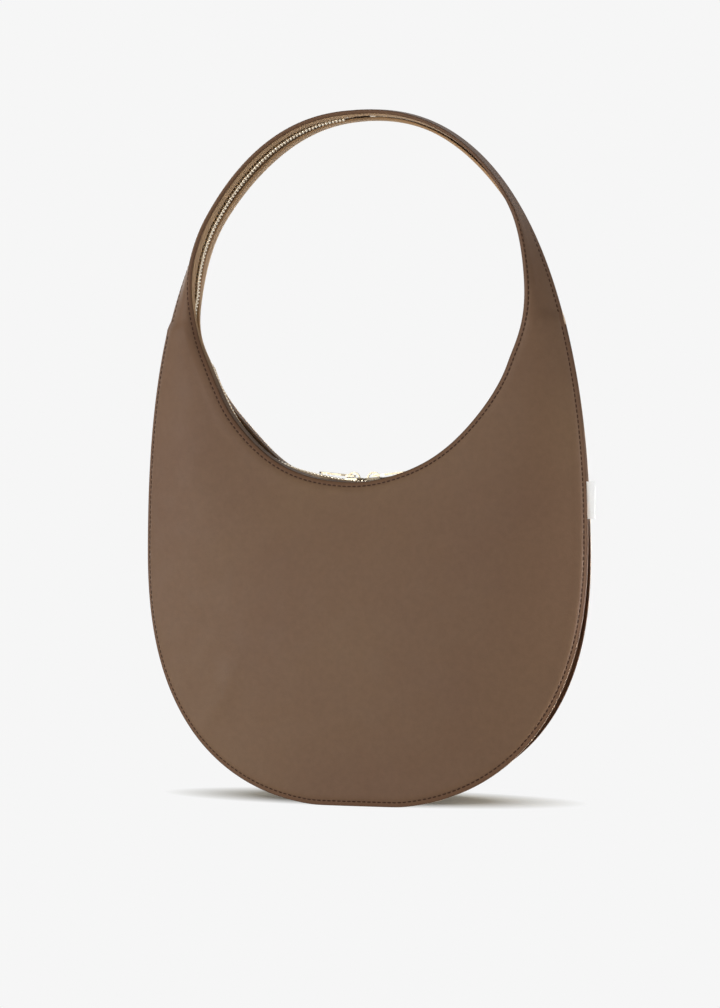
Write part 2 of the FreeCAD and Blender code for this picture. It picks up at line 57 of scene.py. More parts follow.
# The bag's form, polar round the ring's centre, with angles from straight down
bagForm = {  # millimetres and degrees: the form of the solids, with the give of used leather
    "height": 418.5, "halfWidth": 137.4, "bellyHeight": 160.0, "bellyPower": 2.42, "crownPower": 2.25,
    "baseCrush": 1.2, "baseRound": 0.5, "pressedBelow": 20.0,
    "mouthRadius": 98.0016, "sillHeight": 195.5, "mouthSweep": 72.0, "mouthEase": 52.0,
    "handleDepth": 5.0, "handleEase": 50.0, "ringHalfDepth": 15.5, "baseHalfDepth": 28.0,
    "notchHalfDepth": 3.6, "notchHeight": 288.0, "closeHeight": 7.0, "taperPower": 2.2, "bulge": 4.5,
    "seamGap": 0.2, "edgeStep": 0.3, "sectionSteps": 240,
    "margin": 2.4, "marginLean": -0.5, "creaseRound": (1.5, 2.25),  # the handle's fold beside the stitches
    "frontLip": (  # where a lip strays: angle, spread, outward
        (-24.0, 22.0, 3.0), (2.0, 10.0, 0.8), (-66.0, 8.0, -1.0), (-84.0, 9.0, 0.6),
        (50.0, 22.0, -2.8), (103.0, 18.0, -3.2), (142.0, 26.0, 1.5),
    ),
    "backLip": (
        (-26.0, 17.0, 4.8), (-70.0, 18.0, 4.2), (-84.0, 10.0, 1.6), (-148.0, 22.0, -2.0), (140.0, 26.0, -1.8),
    ),
    "zipHalf": 5.3, "lipHalf": 6.7, "facingHalf": 13.2,  # depth of the zip's, lip's and facing's edge
    "pinch": (-88.0, 13.0, 0.45),  # where the handle's root is squeezed: angle, spread, share
    "sag": 3.6, "sagSpan": (11.0, 67.0),  # the closed zip sinks between the lips
    "rootSag": 3.2, "rootFrom": (72.5, 79.5), "rootTo": (90.0, 100.0),  # and again at the handle's roots
    "lean": 2.0, "leanFrom": 264.0,  # the handle's crown leans to the right
}
ringCentre = bagForm["sillHeight"] + bagForm["mouthRadius"]


def rise(value, low, high):  # eases from 0 at low to 1 at high
    t = np.minimum(1.0, np.maximum(0.0, (value - low) / (high - low)))
    return t * t * (3 - 2 * t)


def bell(value, middle, spread):
    return np.exp(-(((value - middle) / spread) ** 2))


def runLength(points):  # the length from the first point to each
    return np.concatenate([[0], np.cumsum(np.linalg.norm(np.diff(points, axis=0), axis=1))])


def unit(vectors):
    return vectors / (np.linalg.norm(vectors, axis=-1, keepdims=True) + 1e-9)


def lastInside(inside, high):  # found by halving
    low = 0.0
    for _ in range(48):
        mid = (low + high) / 2
        low, high = (mid, high) if inside(mid) else (low, mid)
    return low


def egg(x, z):  # below 1 inside the outline
    f = bagForm
    if z < f["bellyHeight"]:
        power, share = f["bellyPower"], (f["bellyHeight"] - z) / (f["bellyHeight"] + f["baseCrush"])
    else:
        power, share = f["crownPower"], (z - f["bellyHeight"]) / (f["height"] - f["bellyHeight"])
    return (abs(x) / f["halfWidth"]) ** power + share ** power


@functools.lru_cache(None)
def outlineReach(phi):
    sine, cosine = math.sin(phi), math.cos(phi)
    return lastInside(lambda r: egg(r * sine, ringCentre - r * cosine) < 1, bagForm["height"])


def outlineHeight(phi):
    return ringCentre - outlineReach(phi) * math.cos(phi)


def baseReach(phi, reach, floor):
    # the reach down to the pressed base, rounded where the base begins
    over = ringCentre - reach * math.cos(phi) - floor
    if math.cos(phi) <= 0 or over > bagForm["pressedBelow"]:
        return reach
    return (ringCentre - floor - (over + math.hypot(over, bagForm["baseRound"])) / 2) / math.cos(phi)


def panelReach(phi):
    return baseReach(phi, outlineReach(phi) - bagForm["edgeStep"], bagForm["edgeStep"])


@functools.lru_cache(None)
def openingReach(phi):
    f, phi = bagForm, abs(phi)
    share = rise(math.degrees(phi), f["mouthSweep"], f["mouthSweep"] + f["mouthEase"])
    return f["mouthRadius"] * (1 - share) + (outlineReach(phi) - f["handleDepth"]) * share


def lipShift(phi, side):
    strays = bagForm["frontLip" if side < 0 else "backLip"]
    return sum(shift * bell(math.degrees(phi), at, spread) for at, spread, shift in strays)


def ringHalf(phi):
    at, spread, share = bagForm["pinch"]
    return bagForm["ringHalfDepth"] * (1 - share * bell(math.degrees(phi), at, spread))


def zipSag(phi):
    f, turn = bagForm, abs(math.degrees(phi))
    share = np.interp(turn, f["sagSpan"], (0, 1))
    roots = rise(turn, *f["rootFrom"]) * (1 - rise(turn, *f["rootTo"]))
    return f["sag"] * math.sin(math.pi * share) ** 2 + f["rootSag"] * roots


def openingPoint(phi, offset, y):
    # a place beside the ring's edge, moved outward square to it, and that direction
    f, step = bagForm, 0.002
    near = rise(abs(y), f["zipHalf"], f["lipHalf"])
    offset += lipShift(phi, y) * near + zipSag(phi) * (1 - near)
    slope = (openingReach(phi + step) - openingReach(phi - step)) / (2 * step)
    turn = phi - math.atan2(slope, openingReach(phi))
    x = openingReach(phi) * math.sin(phi) + offset * math.sin(turn)
    z = ringCentre - openingReach(phi) * math.cos(phi) - offset * math.cos(turn)
    tight = (1 - ringHalf(phi) / f["ringHalfDepth"]) * min(1.0, abs(y) / f["facingHalf"])
    return Vector((x, y * (1 - tight), z)) * mm, Vector((math.sin(turn), 0, -math.cos(turn)))


def edgeHalfDepth(phi):
    f, height = bagForm, outlineHeight(phi)
    if height <= f["notchHeight"]:
        drop = min(1.0, (f["notchHeight"] - height) / f["notchHeight"])
        return f["notchHalfDepth"] + (f["baseHalfDepth"] - f["notchHalfDepth"]) * drop ** f["taperPower"]
    fade = rise(height, f["notchHeight"], f["notchHeight"] + f["closeHeight"])
    return f["notchHalfDepth"] + (f["seamGap"] / 2 - f["notchHalfDepth"]) * fade


def foldedSection(inner, outer, half, edge):
    # the handle's half section: a narrow margin, a rounded crease, then a slope to the ridge
    f = bagForm
    start, end = np.array([inner, half]), np.array([outer, edge])
    crease = np.array([inner + min(f["margin"], (outer - inner) / 2), half - f["marginLean"]])
    first, second = crease - start, end - crease
    near = crease - first * min(0.5, f["creaseRound"][0] / np.linalg.norm(first))
    far = crease + second * min(0.5, f["creaseRound"][1] / np.linalg.norm(second))
    t = np.linspace(0, 1, 40)[:, None]
    bend = (1 - t) ** 2 * near + 2 * t * (1 - t) * crease + t * t * far
    points = np.concatenate([start + t[:-1] * (near - start), bend, far + t[1:] * (end - far)])
    length = runLength(points)
    return points, length / length[-1]


@functools.lru_cache(None)
def panelSection(phi, shift=0.0, half=bagForm["ringHalfDepth"]):
    # reach, depth and length along the leather from the mouth's edge to the outer edge
    f = bagForm
    inner, outer, edge = openingReach(phi) + shift, panelReach(phi), edgeHalfDepth(phi)
    fold = rise(outlineHeight(phi), f["notchHeight"], f["notchHeight"] + f["handleEase"])
    u = 0.5 - 0.5 * np.cos(np.linspace(0, math.pi, f["sectionSteps"] + 1))
    folded, share = foldedSection(inner, outer, half, edge)
    straight = half + (edge - half) * u + f["bulge"] * np.sin(math.pi * u)
    reach = (1 - fold) * (inner + (outer - inner) * u) + fold * np.interp(u, share, folded[:, 0])
    depth = (1 - fold) * straight + fold * np.interp(u, share, folded[:, 1])
    return reach, depth, runLength(np.stack([reach, depth], 1))


def evenAngles(steps):  # from base to crown, evenly spaced along the outline
    fine = np.linspace(0, math.pi, 600)
    reach = np.array([panelReach(a) for a in fine])
    length = runLength(np.stack([reach * np.sin(fine), reach * np.cos(fine)], 1))
    return list(np.interp(np.linspace(0, length[-1], steps + 1), length, fine))


def leaning(points):  # metres
    points = np.array(points, float)
    points[:, 0] += bagForm["lean"] * mm * rise(points[:, 2] / mm, bagForm["leanFrom"], bagForm["height"])
    return points.tolist()


notchAngle = lastInside(lambda a: outlineHeight(a) < bagForm["notchHeight"], math.pi)
print("form ready")


# Finishes
def addNode(tree, kind, inputs=None, **settings):
    node = tree.nodes.new(kind)
    for key, value in settings.items():
        setattr(node, key, value)
    for key, value in (inputs or {}).items():
        if isinstance(value, bpy.types.NodeSocket):
            tree.links.new(value, node.inputs[key])
        else:
            node.inputs[key].default_value = value
    return node


def result(tree, kind, output, inputs=None, **settings):
    return addNode(tree, kind, inputs, **settings).outputs[output]


def emptyTree(owner):
    owner.use_nodes = True
    owner.node_tree.nodes.clear()
    return owner.node_tree


def objectCoords(tree):
    return result(tree, "ShaderNodeTexCoord", "Object")


def makeMaterial(name, surface, look):
    mat = bpy.data.materials.new(name)
    tree = emptyTree(mat)
    shader = result(tree, "ShaderNodeBsdfPrincipled", "BSDF", surface(tree, objectCoords(tree), look))
    addNode(tree, "ShaderNodeOutputMaterial", {"Surface": shader})
    return mat


def mapped(tree, coords, kind, values):
    return result(tree, "ShaderNodeMapping", "Vector", {"Vector": coords, kind: values})


def noise(tree, coords, scale, detail=2.0, rough=0.5):
    inputs = {"Vector": coords, "Scale": scale, "Detail": detail, "Roughness": rough}
    return result(tree, "ShaderNodeTexNoise", "Fac", inputs)


def mapRange(tree, value, a, b, c, d):
    inputs = {"Value": value, "From Min": a, "From Max": b, "To Min": c, "To Max": d}
    return result(tree, "ShaderNodeMapRange", "Result", inputs)


def patches(tree, coords, scale, detail=2.0, rough=0.5, span=(0.0, 1.0)):  # noise stretched to a range
    return mapRange(tree, noise(tree, coords, scale, detail, rough), 0.3, 0.7, *span)


def mixColor(tree, share, first, second, mode="MIX"):
    inputs = {0: share, 6: first, 7: second}
    return result(tree, "ShaderNodeMix", 2, inputs, data_type="RGBA", blend_type=mode)


def math2(tree, operation, a, b):
    return result(tree, "ShaderNodeMath", 0, {0: a, 1: b}, operation=operation)


def bump(tree, height, strength, distance, normal=None):
    inputs = {"Height": height, "Strength": strength, "Distance": distance}
    if normal is not None:
        inputs["Normal"] = normal
    return result(tree, "ShaderNodeBump", "Normal", inputs)


def rgb(r, g, b):  # screen colour to the shader's linear one
    linear = [((c / 255 + 0.055) / 1.055) ** 2.4 if c > 10 else c / 255 / 12.92 for c in (r, g, b)]
    return (*linear, 1.0)


leatherLook = {
    "light": rgb(108, 84, 63), "deep": rgb(101, 76, 59), "toneScale": 7.0,
    "mottle": (0.93, 1.05), "mottleScale": 260.0,
    "margin": rgb(94, 67, 49), "marginFade": (2.4, 3.4), "marginShare": 0.7,  # millimetres from a cut edge; the darker, redder margin is partly the leather's tone, partly painted shade of the pressed edge
    "edge": rgb(74, 54, 40), "edgeFade": 0.6, "edgeStray": 0.2, "strayScale": 300.0,
    "rough": (0.5, 0.57), "roughScale": 90.0, "shine": 0.16,
    "grain": 0.10, "poreScale": 1100.0, "grainScale": 2400.0, "unevenness": 0.04, "unevenScale": 55.0,
}
bindingLook = dict(
    leatherLook, light=rgb(164, 134, 101), deep=rgb(147, 118, 89), margin=rgb(160, 130, 98),
    edge=rgb(147, 117, 88), grain=0.02, unevenness=0.0, shine=0.12,
    # painted shade: the binding darkens toward the bottom of the mouth
    handled=rgb(78, 57, 41), handledHeight=(0.25, 0.30), handledShare=0.9,
)


def leather(tree, coords, look):
    color = mixColor(tree, patches(tree, coords, look["toneScale"], 3.0), look["light"], look["deep"])
    mottle = mapRange(tree, noise(tree, coords, look["mottleScale"], 4.0, 0.6), 0.25, 0.75, *look["mottle"])
    gray = result(tree, "ShaderNodeCombineColor", 0, {"Red": mottle, "Green": mottle, "Blue": mottle})
    color = mixColor(tree, 1.0, color, gray, "MULTIPLY")
    edge = result(tree, "ShaderNodeAttribute", "Fac", attribute_name="edge")  # millimetres from a cut
    most = look["edgeStray"]
    stray = mapRange(tree, noise(tree, coords, look["strayScale"]), 0, 1, -most, most)
    worn = mapRange(tree, math2(tree, "ADD", edge, stray), 0.0, look["edgeFade"], 1, 0)
    # painted shade and tone: the margin beside a cut edge is painted darker and redder
    marginToneAndShade = mapRange(tree, edge, *look["marginFade"], look["marginShare"], 0.0)
    color = mixColor(tree, marginToneAndShade, color, look["margin"])
    color = mixColor(tree, worn, color, look["edge"])
    if "handled" in look:  # painted shade: darker below, toward the bottom of the mouth
        height = result(tree, "ShaderNodeSeparateXYZ", "Z", {0: coords})
        low = mapRange(tree, height, *look["handledHeight"], look["handledShare"], 0.0)
        color = mixColor(tree, low, color, look["handled"])
    cells = {"Vector": coords, "Scale": look["poreScale"]}
    pores = result(tree, "ShaderNodeTexVoronoi", "Distance", cells, feature="SMOOTH_F1")
    fine = bump(tree, noise(tree, coords, look["grainScale"], 3.0, 0.6), look["grain"], 0.0002)
    grain = bump(tree, pores, look["grain"], 0.00025, fine)
    waves = noise(tree, coords, look["unevenScale"], 2.0)
    return {
        "Base Color": color, "Specular IOR Level": look["shine"],
        "Roughness": patches(tree, coords, look["roughScale"], 3.0, span=look["rough"]),
        "Normal": bump(tree, waves, look["unevenness"], 0.0012, grain),
    }


# the cut edges' tan paint, lightened into a painted highlight along the edges
edgePaintAndHighlightLook = {
    "light": rgb(212, 184, 152), "deep": rgb(186, 156, 124), "wearScale": 700.0,
    "rough": (0.35, 0.5), "roughScale": 1500.0, "pits": 0.2, "pitScale": 1800.0,
}


def paint(tree, coords, look):
    wear = mapRange(tree, noise(tree, coords, look["wearScale"], 3.0), 0.35, 0.7, 0, 1)
    return {
        "Base Color": mixColor(tree, wear, look["deep"], look["light"]),
        "Roughness": patches(tree, coords, look["roughScale"], span=look["rough"]),
        "Normal": bump(tree, noise(tree, coords, look["pitScale"]), look["pits"], 0.0002),
    }


# the tape's own tan, lightened as painted light against the shade of the recess between the bindings
tapeLook = {  # lengths in metres
    "thread": rgb(206, 178, 142), "gap": rgb(158, 128, 98), "pitch": 0.00055, "depth": 0.00012,
    "rough": 0.72, "sheen": 0.15,
}
liningLook = {
    "thread": rgb(158, 132, 108), "gap": rgb(112, 90, 72), "pitch": 0.0007, "depth": 0.0001,
    "rough": 0.8, "sheen": 0.1,
}
ribbonLook = {
    "thread": rgb(252, 252, 252), "gap": rgb(230, 231, 234), "pitch": 0.00045, "depth": 0.0001,
    "rough": 0.5, "sheen": 0.1,
}
weaveForm = {  # what all the cloths share
    "waveLength": 0.314, "weft": 0.85, "relief": 0.5, "shine": 0.25, "fuzz": (0.75, 1.1), "fuzzScale": 900.0,
}


def woven(tree, coords, look):
    # warp and weft on the piece's own map, whose unit is a metre
    uv = result(tree, "ShaderNodeUVMap", "UV", uv_map="weave")
    waves = []
    for turn in (0, math.pi / 2):
        scale = weaveForm["waveLength"] / look["pitch"]
        inputs = {"Vector": mapped(tree, uv, "Rotation", (0, 0, turn)), "Scale": scale, "Distortion": 0.0}
        waves.append(result(tree, "ShaderNodeTexWave", "Fac", inputs, bands_direction="X"))
    weave = math2(tree, "MAXIMUM", waves[0], math2(tree, "MULTIPLY", waves[1], weaveForm["weft"]))
    fuzz = patches(tree, coords, weaveForm["fuzzScale"], 3.0, span=weaveForm["fuzz"])
    return {
        "Base Color": mixColor(tree, math2(tree, "MULTIPLY", weave, fuzz), look["gap"], look["thread"]),
        "Roughness": look["rough"], "Sheen Weight": look["sheen"],
        "Specular IOR Level": weaveForm["shine"],
        "Normal": bump(tree, weave, weaveForm["relief"], look["depth"]),
    }


toothLook = {"color": rgb(232, 219, 196), "rough": 0.26}
sliderLook = {"color": rgb(160, 148, 127), "rough": 0.31}
metalWear = {
    "dull": 0.86, "tarnishScale": 240.0, "brush": (600.0, 4000.0, 600.0), "roughSpan": (0.8, 1.3),
    "pits": 0.08, "pitScale": 1600.0,
}


def metal(tree, coords, look):
    wear = metalWear
    tarnish = mapRange(tree, noise(tree, coords, wear["tarnishScale"], 4.0, 0.6), 0.35, 0.75, 0, 1)
    dull = (*[c * wear["dull"] for c in look["color"][:3]], 1.0)
    brushed = mapped(tree, coords, "Scale", wear["brush"])
    span = [look["rough"] * share for share in wear["roughSpan"]]
    return {
        "Metallic": 1.0, "Base Color": mixColor(tree, tarnish, look["color"], dull),
        "Roughness": patches(tree, brushed, 1.0, span=span),
        "Normal": bump(tree, noise(tree, coords, wear["pitScale"]), wear["pits"], 0.0001),
    }


boardLook = {
    "fibre": rgb(196, 168, 134), "pulp": rgb(150, 121, 92), "rough": 0.85, "relief": 0.25,
    "fleckScale": 320.0, "stretch": (1.0, 1.0, 5.0),
}


def pulpBoard(tree, coords, look):
    flecks = patches(tree, mapped(tree, coords, "Scale", look["stretch"]), look["fleckScale"], 5.0, 0.7)
    return {
        "Base Color": mixColor(tree, flecks, look["pulp"], look["fibre"]), "Roughness": look["rough"],
        "Normal": bump(tree, flecks, look["relief"], 0.0002),
    }


threadLook = {
    "light": rgb(66, 45, 33), "deep": rgb(46, 31, 22), "plyScale": 1900.0,
    "rough": 0.7, "shine": 0.12, "relief": 0.3,
}


def twisted(tree, coords, look):
    ply = patches(tree, coords, look["plyScale"])
    return {
        "Base Color": mixColor(tree, ply, look["deep"], look["light"]), "Roughness": look["rough"],
        "Specular IOR Level": look["shine"], "Normal": bump(tree, ply, look["relief"], 0.0001),
    }


bodyLeather = makeMaterial("taupeLeather", leather, leatherLook)
facingLeather = makeMaterial("bindingLeather", leather, bindingLook)
# edge paint, lightened as a painted highlight
edgePaintAndHighlight = makeMaterial("paintedEdgeAndHighlight", paint, edgePaintAndHighlightLook)
tapeCloth = makeMaterial("tanZipTape", woven, tapeLook)
liningCloth = makeMaterial("liningTwill", woven, liningLook)
ribbonCloth = makeMaterial("whiteRibbon", woven, ribbonLook)
toothMetal = makeMaterial("paleGoldTeeth", metal, toothLook)
sliderMetal = makeMaterial("paleGoldCasting", metal, sliderLook)
board = makeMaterial("bondedBoard", pulpBoard, boardLook)
thread = makeMaterial("brownThread", twisted, threadLook)
print("finishes ready")


# Meshes
def addObject(name, data):
    obj = bpy.data.objects.new(name, data)
    bpy.context.scene.collection.objects.link(obj)
    return obj


def meshObject(name, verts, faces, materials, uv=None, edge=None, sharp=None):
    mesh = bpy.data.meshes.new(name)
    mesh.from_pydata(leaning(verts), [], faces)
    for mat in materials:
        mesh.materials.append(mat)
    if edge is not None:
        mesh.attributes.new("edge", "FLOAT", "POINT").data.foreach_set("value", np.asarray(edge, np.float32))
    if uv is not None:
        layer = mesh.uv_layers.new(name="weave")
        corner = np.empty(len(mesh.loops), np.int32)
        mesh.loops.foreach_get("vertex_index", corner)
        layer.data.foreach_set("uv", np.asarray(uv, np.float32)[corner].ravel())
    work = bmesh.new()
    work.from_mesh(mesh)
    bmesh.ops.recalc_face_normals(work, faces=work.faces)
    work.to_mesh(mesh)
    work.free()
    mesh.polygons.foreach_set("use_smooth", np.ones(len(mesh.polygons), bool))
    if sharp is not None:
        mesh.set_sharp_from_angle(angle=math.radians(sharp))
    mesh.update()
    return addObject(name, mesh)


def place(obj, slotName, *nodes):
    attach(obj, "bag")
    if nodes:
        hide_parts(*nodes)
    return obj


def loft(name, rings, closed, materials, uvRings=None, edge=None, sharp=None):
    # closed cross-sections joined one after another, with caps where the run is open
    count, corners = len(rings), len(rings[0])
    verts = [p for ring in rings for p in ring]
    faces = []
    for j in range(count if closed else count - 1):
        a, b = j * corners, (j + 1) % count * corners
        for i in range(corners):
            k = (i + 1) % corners
            faces.append((a + i, a + k, b + k, b + i))
    if not closed:
        faces.append(tuple(range(corners)))
        faces.append(tuple((count - 1) * corners + i for i in range(corners)))
    uv = [q for ring in uvRings for q in ring] if uvRings else None
    return meshObject(name, verts, faces, materials, uv=uv, edge=edge, sharp=sharp)


# Leather panels
panelMake = {  # millimetres
    "stations": 210, "middleRows": 26, "thickness": 1.5, "rimRound": 0.22, "floorGap": 0.05,
    "fromEdge": (0, 0.25, 0.7, 1.3, 1.9, 2.3, 2.6, 2.9, 3.2, 3.6, 4.3, 5.4, 7.0), "marginFill": 2.3,
    "stitchIn": 2.8, "stitchOut": 2.9, "groove": 0.28, "grooveWidth": 0.6,
    "press": 0.9, "pressWidth": 4.2, "puff": 0.35, "puffAt": 6.5, "puffWidth": 2.6,
    "lipRoll": 1.0, "lipWidth": 3.4, "notchBlend": 4.0,
    "dents": (  # x, z, half length, half width, turn in degrees, height
        (-84, 68, 26, 7, 62, 0.8), (-40, 96, 60, 30, 20, 0.5), (52, 70, 48, 22, -35, 0.6),
        (88, 140, 40, 14, 80, 0.5), (-100, 190, 36, 12, -75, 0.5), (0, 150, 70, 18, 5, 0.4),
    ),
}
rightHalf = evenAngles(panelMake["stations"])
panelAngles = [-a for a in reversed(rightHalf[1:-1])] + rightHalf


def pouchShare(phi):  # 1 on the pouch and 0 on the handle
    over, blend = outlineHeight(abs(phi)) - bagForm["notchHeight"], panelMake["notchBlend"]
    return 1 - rise(over, -blend, blend)


def panelGrid(side):
    make, near = panelMake, np.array(panelMake["fromEdge"])
    grid, away = [], []
    for phi in panelAngles:
        reach, depth, length = panelSection(abs(phi), lipShift(phi, side), ringHalf(phi))
        total, pouch = length[-1], pouchShare(phi)
        margin = near * min(1.0, total / (make["marginFill"] * near[-1]))
        middle = np.linspace(margin[-1], total - margin[-1], make["middleRows"] + 2)[1:-1]
        fromMouth = np.concatenate([margin, middle, (total - margin)[::-1]])
        fromRim = total - fromMouth
        r, d = np.interp(fromMouth, length, reach), np.interp(fromMouth, length, depth)
        d -= pouch * make["press"] * (1 - rise(fromRim, 0, make["pressWidth"]))
        d -= make["groove"] * bell(fromMouth, make["stitchIn"], make["grooveWidth"])
        d -= make["groove"] * bell(fromRim, make["stitchOut"], make["grooveWidth"]) * pouch
        d -= make["lipRoll"] * np.clip(1 - fromMouth / make["lipWidth"], 0, 1) ** 2
        d += make["puff"] * bell(fromMouth, make["puffAt"], make["puffWidth"])
        d += make["puff"] * bell(fromRim, make["puffAt"], make["puffWidth"]) * pouch
        x, z = r * math.sin(phi), ringCentre - r * math.cos(phi)
        for cx, cz, a, b, turn, high in make["dents"]:
            c, s = math.cos(math.radians(turn)), math.sin(math.radians(turn))
            px, pz = -side * x - cx, z - cz
            d += high * bell(px * c + pz * s, 0, a) * bell(pz * c - px * s, 0, b)
        grid.append(np.stack([x, -d, z], 1))
        away.append(np.minimum(fromMouth, fromRim))
    return np.array(grid), np.array(away)


def gridNormals(grid):
    along = np.roll(grid, -1, 0) - np.roll(grid, 1, 0)
    normal = unit(np.cross(along, np.gradient(grid, axis=1)))
    flip = np.sign(np.sum(normal[:, grid.shape[1] // 2, 1]))
    return normal * (-flip)  # pointing to the front


def leatherPanel(sideName, side):
    grid, away = panelGrid(side)
    normal = gridNormals(grid)
    under = grid - normal * panelMake["thickness"]
    for layer in (under, grid):
        layer[:, :, 1] = np.minimum(layer[:, :, 1], -bagForm["seamGap"] / 2)
    pouch = np.array([pouchShare(a) for a in panelAngles])[:, None]
    lip = (grid[:, 0] + under[:, 0]) / 2 + panelMake["rimRound"] * unit(grid[:, 0] - grid[:, 1])
    rim = (grid[:, -1] + under[:, -1]) / 2 + pouch * panelMake["rimRound"] * unit(grid[:, -1] - grid[:, -2])
    ring = np.concatenate([grid, rim[:, None], under[:, ::-1], lip[:, None]], 1)
    ring[:, :, 2] = np.maximum(ring[:, :, 2], panelMake["floorGap"])
    ring[:, :, 1] *= -side
    zero = np.zeros((len(panelAngles), 1))
    edge = np.concatenate([away, zero, away[:, ::-1], zero], 1)
    obj = loft(sideName + "Panel", ring * mm, True, [bodyLeather, edgePaintAndHighlight], edge=edge.ravel())
    rows, corners = grid.shape[1], ring.shape[1]
    index = np.arange(len(obj.data.polygons)) % corners
    painted = np.isin(index, (rows - 1, rows, corners - 2, corners - 1)).astype(np.int32)
    obj.data.polygons.foreach_set("material_index", painted)
    place(obj, "body_leather", sideName + "_panel")
    return {"grid": grid, "under": under, "normal": normal}


panels = {sideName: leatherPanel(sideName, side) for sideName, side in bothSides}
print("panels:", panels["front"]["grid"].shape[:2], "points on a face")


# Gusset between the panels, from notch to notch
gussetMake = {  # millimetres
    "flange": 4.5, "thickness": 1.3, "skive": 0.6, "gap": 0.25, "tip": 0.9,
    "foldRound": 0.5, "edgeRound": 0.3, "sag": 0.9, "sagWidth": 14.0,
    "fromCut": (6.0, 5.0, 4.0, 0.5, 0, 0, 0.5, 3.0, 4.0, 5.0, 6.0, 8.0),  # at each point of the half section
}


def layerDepth(station, reach):
    # how deep the panel's inner face is at a distance from the ring's centre
    rim = panels["front"]["under"][station][-12:]
    r, y = np.hypot(rim[:, 0], rim[:, 2] - ringCentre), rim[:, 1]
    if reach <= r[-1]:
        order = np.argsort(r)
        return -float(np.interp(reach, r[order], y[order]))
    slope = (y[-1] - y[-5]) / max(r[-1] - r[-5], 1e-6)
    return -float(y[-1] + slope * (reach - r[-1]))


def gussetPiece():
    make, rings = gussetMake, []
    for j, phi in enumerate(panelAngles):
        if abs(phi) > notchAngle:
            continue
        reach = baseReach(phi, outlineReach(abs(phi)), 0.0)
        web = reach - make["flange"]
        fold = web - make["thickness"]
        tip = (max(0.0, layerDepth(j, reach) - make["gap"]) ** 4 + make["tip"] ** 4) ** 0.25
        foot = max(tip, layerDepth(j, fold) - make["gap"])
        slope = (foot - tip) / (reach - fold)
        across = make["thickness"] * math.sqrt(1 + slope * slope)
        thin = (across ** -4 + (tip * make["skive"]) ** -4) ** -0.25
        inside = tip + slope * make["flange"] - across
        sag = make["sag"] * min(1.0, inside / make["sagWidth"])
        corner, cut = make["foldRound"], reach - make["edgeRound"]
        half = [
            (fold, foot - corner), (fold + corner, foot), (web, tip + slope * make["flange"]), (cut, tip),
            (reach, tip - thin * 0.35), (reach, tip - thin * 0.65), (cut, tip - thin),
            (web + 1.0, inside), (web + 0.25, inside - 0.3), (web, inside - 1.1),
            (web - sag * 0.4, inside * 0.7 - 0.7), (web - sag, inside * 0.3),
        ]
        section = [(r, -y) for r, y in half] + half[::-1]
        sine, cosine = math.sin(phi), math.cos(phi)
        rings.append([Vector((r * sine, y, max(0.0, ringCentre - r * cosine))) * mm for r, y in section])
    edge = (make["fromCut"] + make["fromCut"][::-1]) * len(rings)
    return loft("bottomGusset", rings, False, [bodyLeather], edge=edge, sharp=60)


place(gussetPiece(), "body_leather", "bottom_gusset")
print("gusset ready")


# Bindings and tapes round the ring
ringMake = {  # sections as outward and depth in millimetres, angles in degrees
    "steps": 300, "topSteps": 90, "runSteps": 60,
    "facing": (
        (0.05, -13.2), (-0.1, -12.6), (-0.1, -8.0), (-0.25, -7.4), (-0.25, -6.8),
        (0.0, -6.3), (0.6, -6.2), (1.2, -6.5), (1.3, -7.4), (1.3, -13.2),
    ),
    "fromCut": (2.0, 2.0, 3.0, 1.5, 0.6, 0.3, 0.3, 1.0, 3.0, 3.0),  # at each point of the facing's section
    "tape": (
        (1.42, -11.2), (1.42, -5.5), (1.42, -4.2), (1.32, -3.7), (1.16, -3.4), (1.12, -2.9), (1.16, -2.3),
        (1.25, -1.7), (1.7, -1.5), (2.1, -1.7), (2.1, -3.4), (1.95, -4.2), (1.95, -5.5), (1.95, -11.2),
    ),
    "endGap": 7.0, "sliderTurn": 67.13, "throatTurn": 63.9,
    "sewnAt": 0.0062, "openKeep": 0.3, "throatKeep": 0.73,  # metres, and shares of width kept when open
}


def ringLoft(name, section, angles, closed, side, material, edge=None):
    rings, uvs, run, last = [], [], 0.0, None
    for phi in angles:
        ring = [openingPoint(phi, offset, -side * y)[0] for offset, y in section]
        run += (ring[0] - last).length if last else 0.0
        last = ring[0]
        rings.append(ring)
        uvs.append([(run, y * mm) for _, y in section])
    return loft(name, rings, closed, [material], uvs, edge, sharp=50)


def ringAngles(first, last, steps):
    return [first + (last - first) * k / steps for k in range(steps + 1)]


def partWith(obj):  # gives a piece a mesh of its own
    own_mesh(obj)


crownAngle = math.pi - ringMake["endGap"] / (bagForm["height"] - bagForm["handleDepth"] - ringCentre)
splitAngle = math.radians(ringMake["sliderTurn"])
throatAngle = math.radians(ringMake["throatTurn"])  # the stretch inside an open slider's nose, a run of its own
zipRuns = {
    "Left": (-throatAngle, 0.0, "left_slider_run", ringMake["openKeep"]),
    "LeftThroat": (-splitAngle, -throatAngle, "left_slider_run", ringMake["throatKeep"]),
    "Right": (0.0, throatAngle, "right_slider_run", ringMake["openKeep"]),
    "RightThroat": (throatAngle, splitAngle, "right_slider_run", ringMake["throatKeep"]),
}


def tapePiece(sideName, side, label, first, last, steps):
    angles = ringAngles(first, last, steps)
    tape = ringLoft(sideName + "Tape" + label, ringMake["tape"], angles, False, side, tapeCloth)
    return place(tape, "zip_tape", sideName + "_zip_tape")


